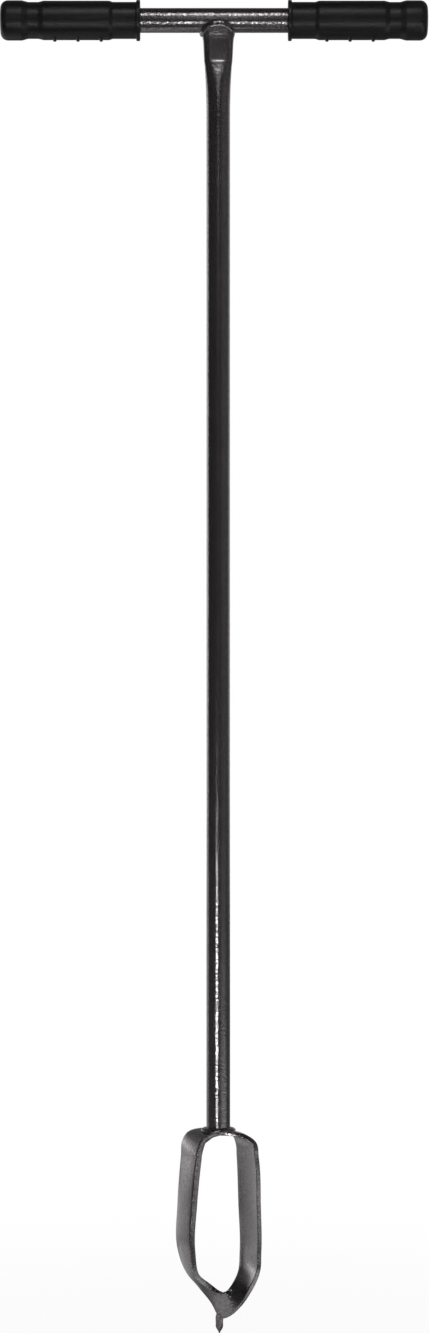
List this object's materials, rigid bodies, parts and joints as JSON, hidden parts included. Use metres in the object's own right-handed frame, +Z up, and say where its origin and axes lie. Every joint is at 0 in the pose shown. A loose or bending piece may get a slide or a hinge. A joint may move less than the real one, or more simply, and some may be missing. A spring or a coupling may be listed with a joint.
{
  "type": "hand earth auger",
  "caption": "T-handled hand soil auger: crossbar with moulded grips, long tube shaft and a body of twisted steel strips that meet in a twisted point, for boring narrow holes in soil.",
  "frame": {"origin": "end of the twisted point, on the shaft's axis line, at the lowest level of the part", "axes": "+Z up the shaft to the handle, +X along the crossbar to the right seen from the front, +Y to the back"},
  "size_m": [0.3848, 0.0389, 1.201],
  "materials": {
    "painted_steel": "dark grey hammered paint, satin, speckled",
    "grip_rubber": "black moulded rubber, matte"
  },
  "bodies": {
    "root": {"crossbar_tube": "painted_steel", "left_grip": "grip_rubber", "right_grip": "grip_rubber", "shaft_tube": "painted_steel", "saddle_weld": "painted_steel", "left_blade": "painted_steel", "right_blade": "painted_steel", "shoulder_weld": "painted_steel", "twisted_point": "painted_steel"}
  },
  "joints": []
}
